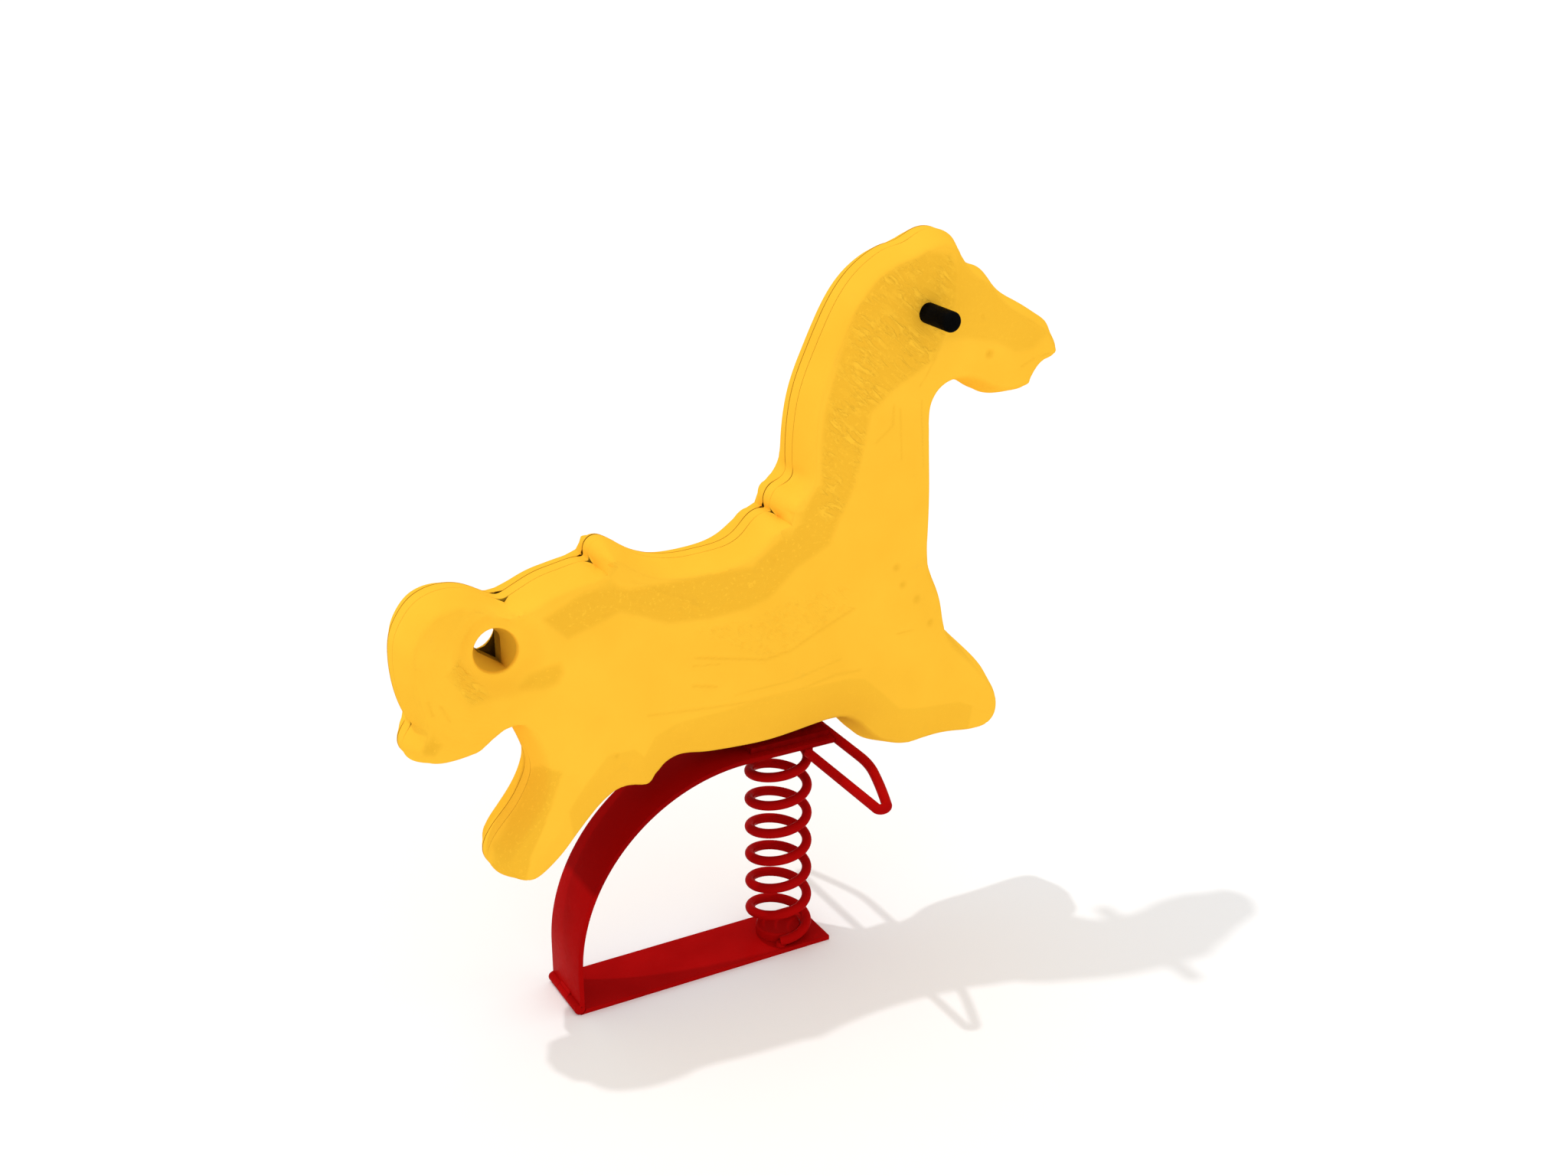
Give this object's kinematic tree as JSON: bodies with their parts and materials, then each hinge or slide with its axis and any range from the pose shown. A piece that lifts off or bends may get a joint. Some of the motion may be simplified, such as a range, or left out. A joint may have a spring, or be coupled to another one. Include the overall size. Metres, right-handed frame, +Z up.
{
  "type": "spring rider horse",
  "caption": "Playground spring rider: a hollow yellow horse on a curved red steel arm, held up over a flat base plate by a coil spring, with a bent rod footrest and two black hand grips.",
  "frame": {"origin": "centre of the base plate's underside", "axes": "+X the way the horse faces, +Z up, the horse's right side towards -Y"},
  "size_m": [0.8921, 0.4408, 0.9272],
  "materials": {
    "red_powder_coat": "gloss red powder coat",
    "yellow_cast_body": "gloss yellow powder coat on a cast body",
    "foot_metal": "red powder coat in the shade under the body",
    "zinc_steel": "zinc plated",
    "black_rubber": "satin black"
  },
  "bodies": {
    "base": {"base_plate": "red_powder_coat", "base_knuckles": "red_powder_coat", "knuckle_welds": "red_powder_coat", "hinge_pin": "red_powder_coat", "pin_cap": "red_powder_coat", "lower_spring_seat": "red_powder_coat", "lower_seat_screw": "zinc_steel", "lower_spring_weld": "red_powder_coat", "coil_spring": "red_powder_coat"},
    "rider": {"arm_knuckle": "red_powder_coat", "spring_arm": "red_powder_coat", "arm_knuckle_weld": "red_powder_coat", "upper_spring_weld": "red_powder_coat", "upper_spring_seat": "red_powder_coat", "footrest_rod": "red_powder_coat", "footrest_front_weld": "red_powder_coat", "footrest_rear_welds": "red_powder_coat", "left_shell": "yellow_cast_body", "right_shell": "yellow_cast_body", "centre_band": "yellow_cast_body", "tail_eye_ring": "yellow_cast_body", "mounting_foot": "foot_metal", "upper_seat_screw": "zinc_steel", "foot_screws": "zinc_steel", "body_bolts": "zinc_steel", "bolt_washers": "zinc_steel", "handle_set_screws": "zinc_steel", "handle_bar": "zinc_steel", "left_grip": "black_rubber", "right_grip": "black_rubber"}
  },
  "joints": [
    {"name": "rocking_hinge", "type": "hinge", "parent": "base", "child": "rider", "pos_m": [-0.175, 0, 0.007], "axis": [0, 1, 0], "range_deg": [-4, 6], "stiffness_Nm_per_rad": 8400, "springref_deg": -0.43, "deforming": ["coil_spring"]}
  ]
}
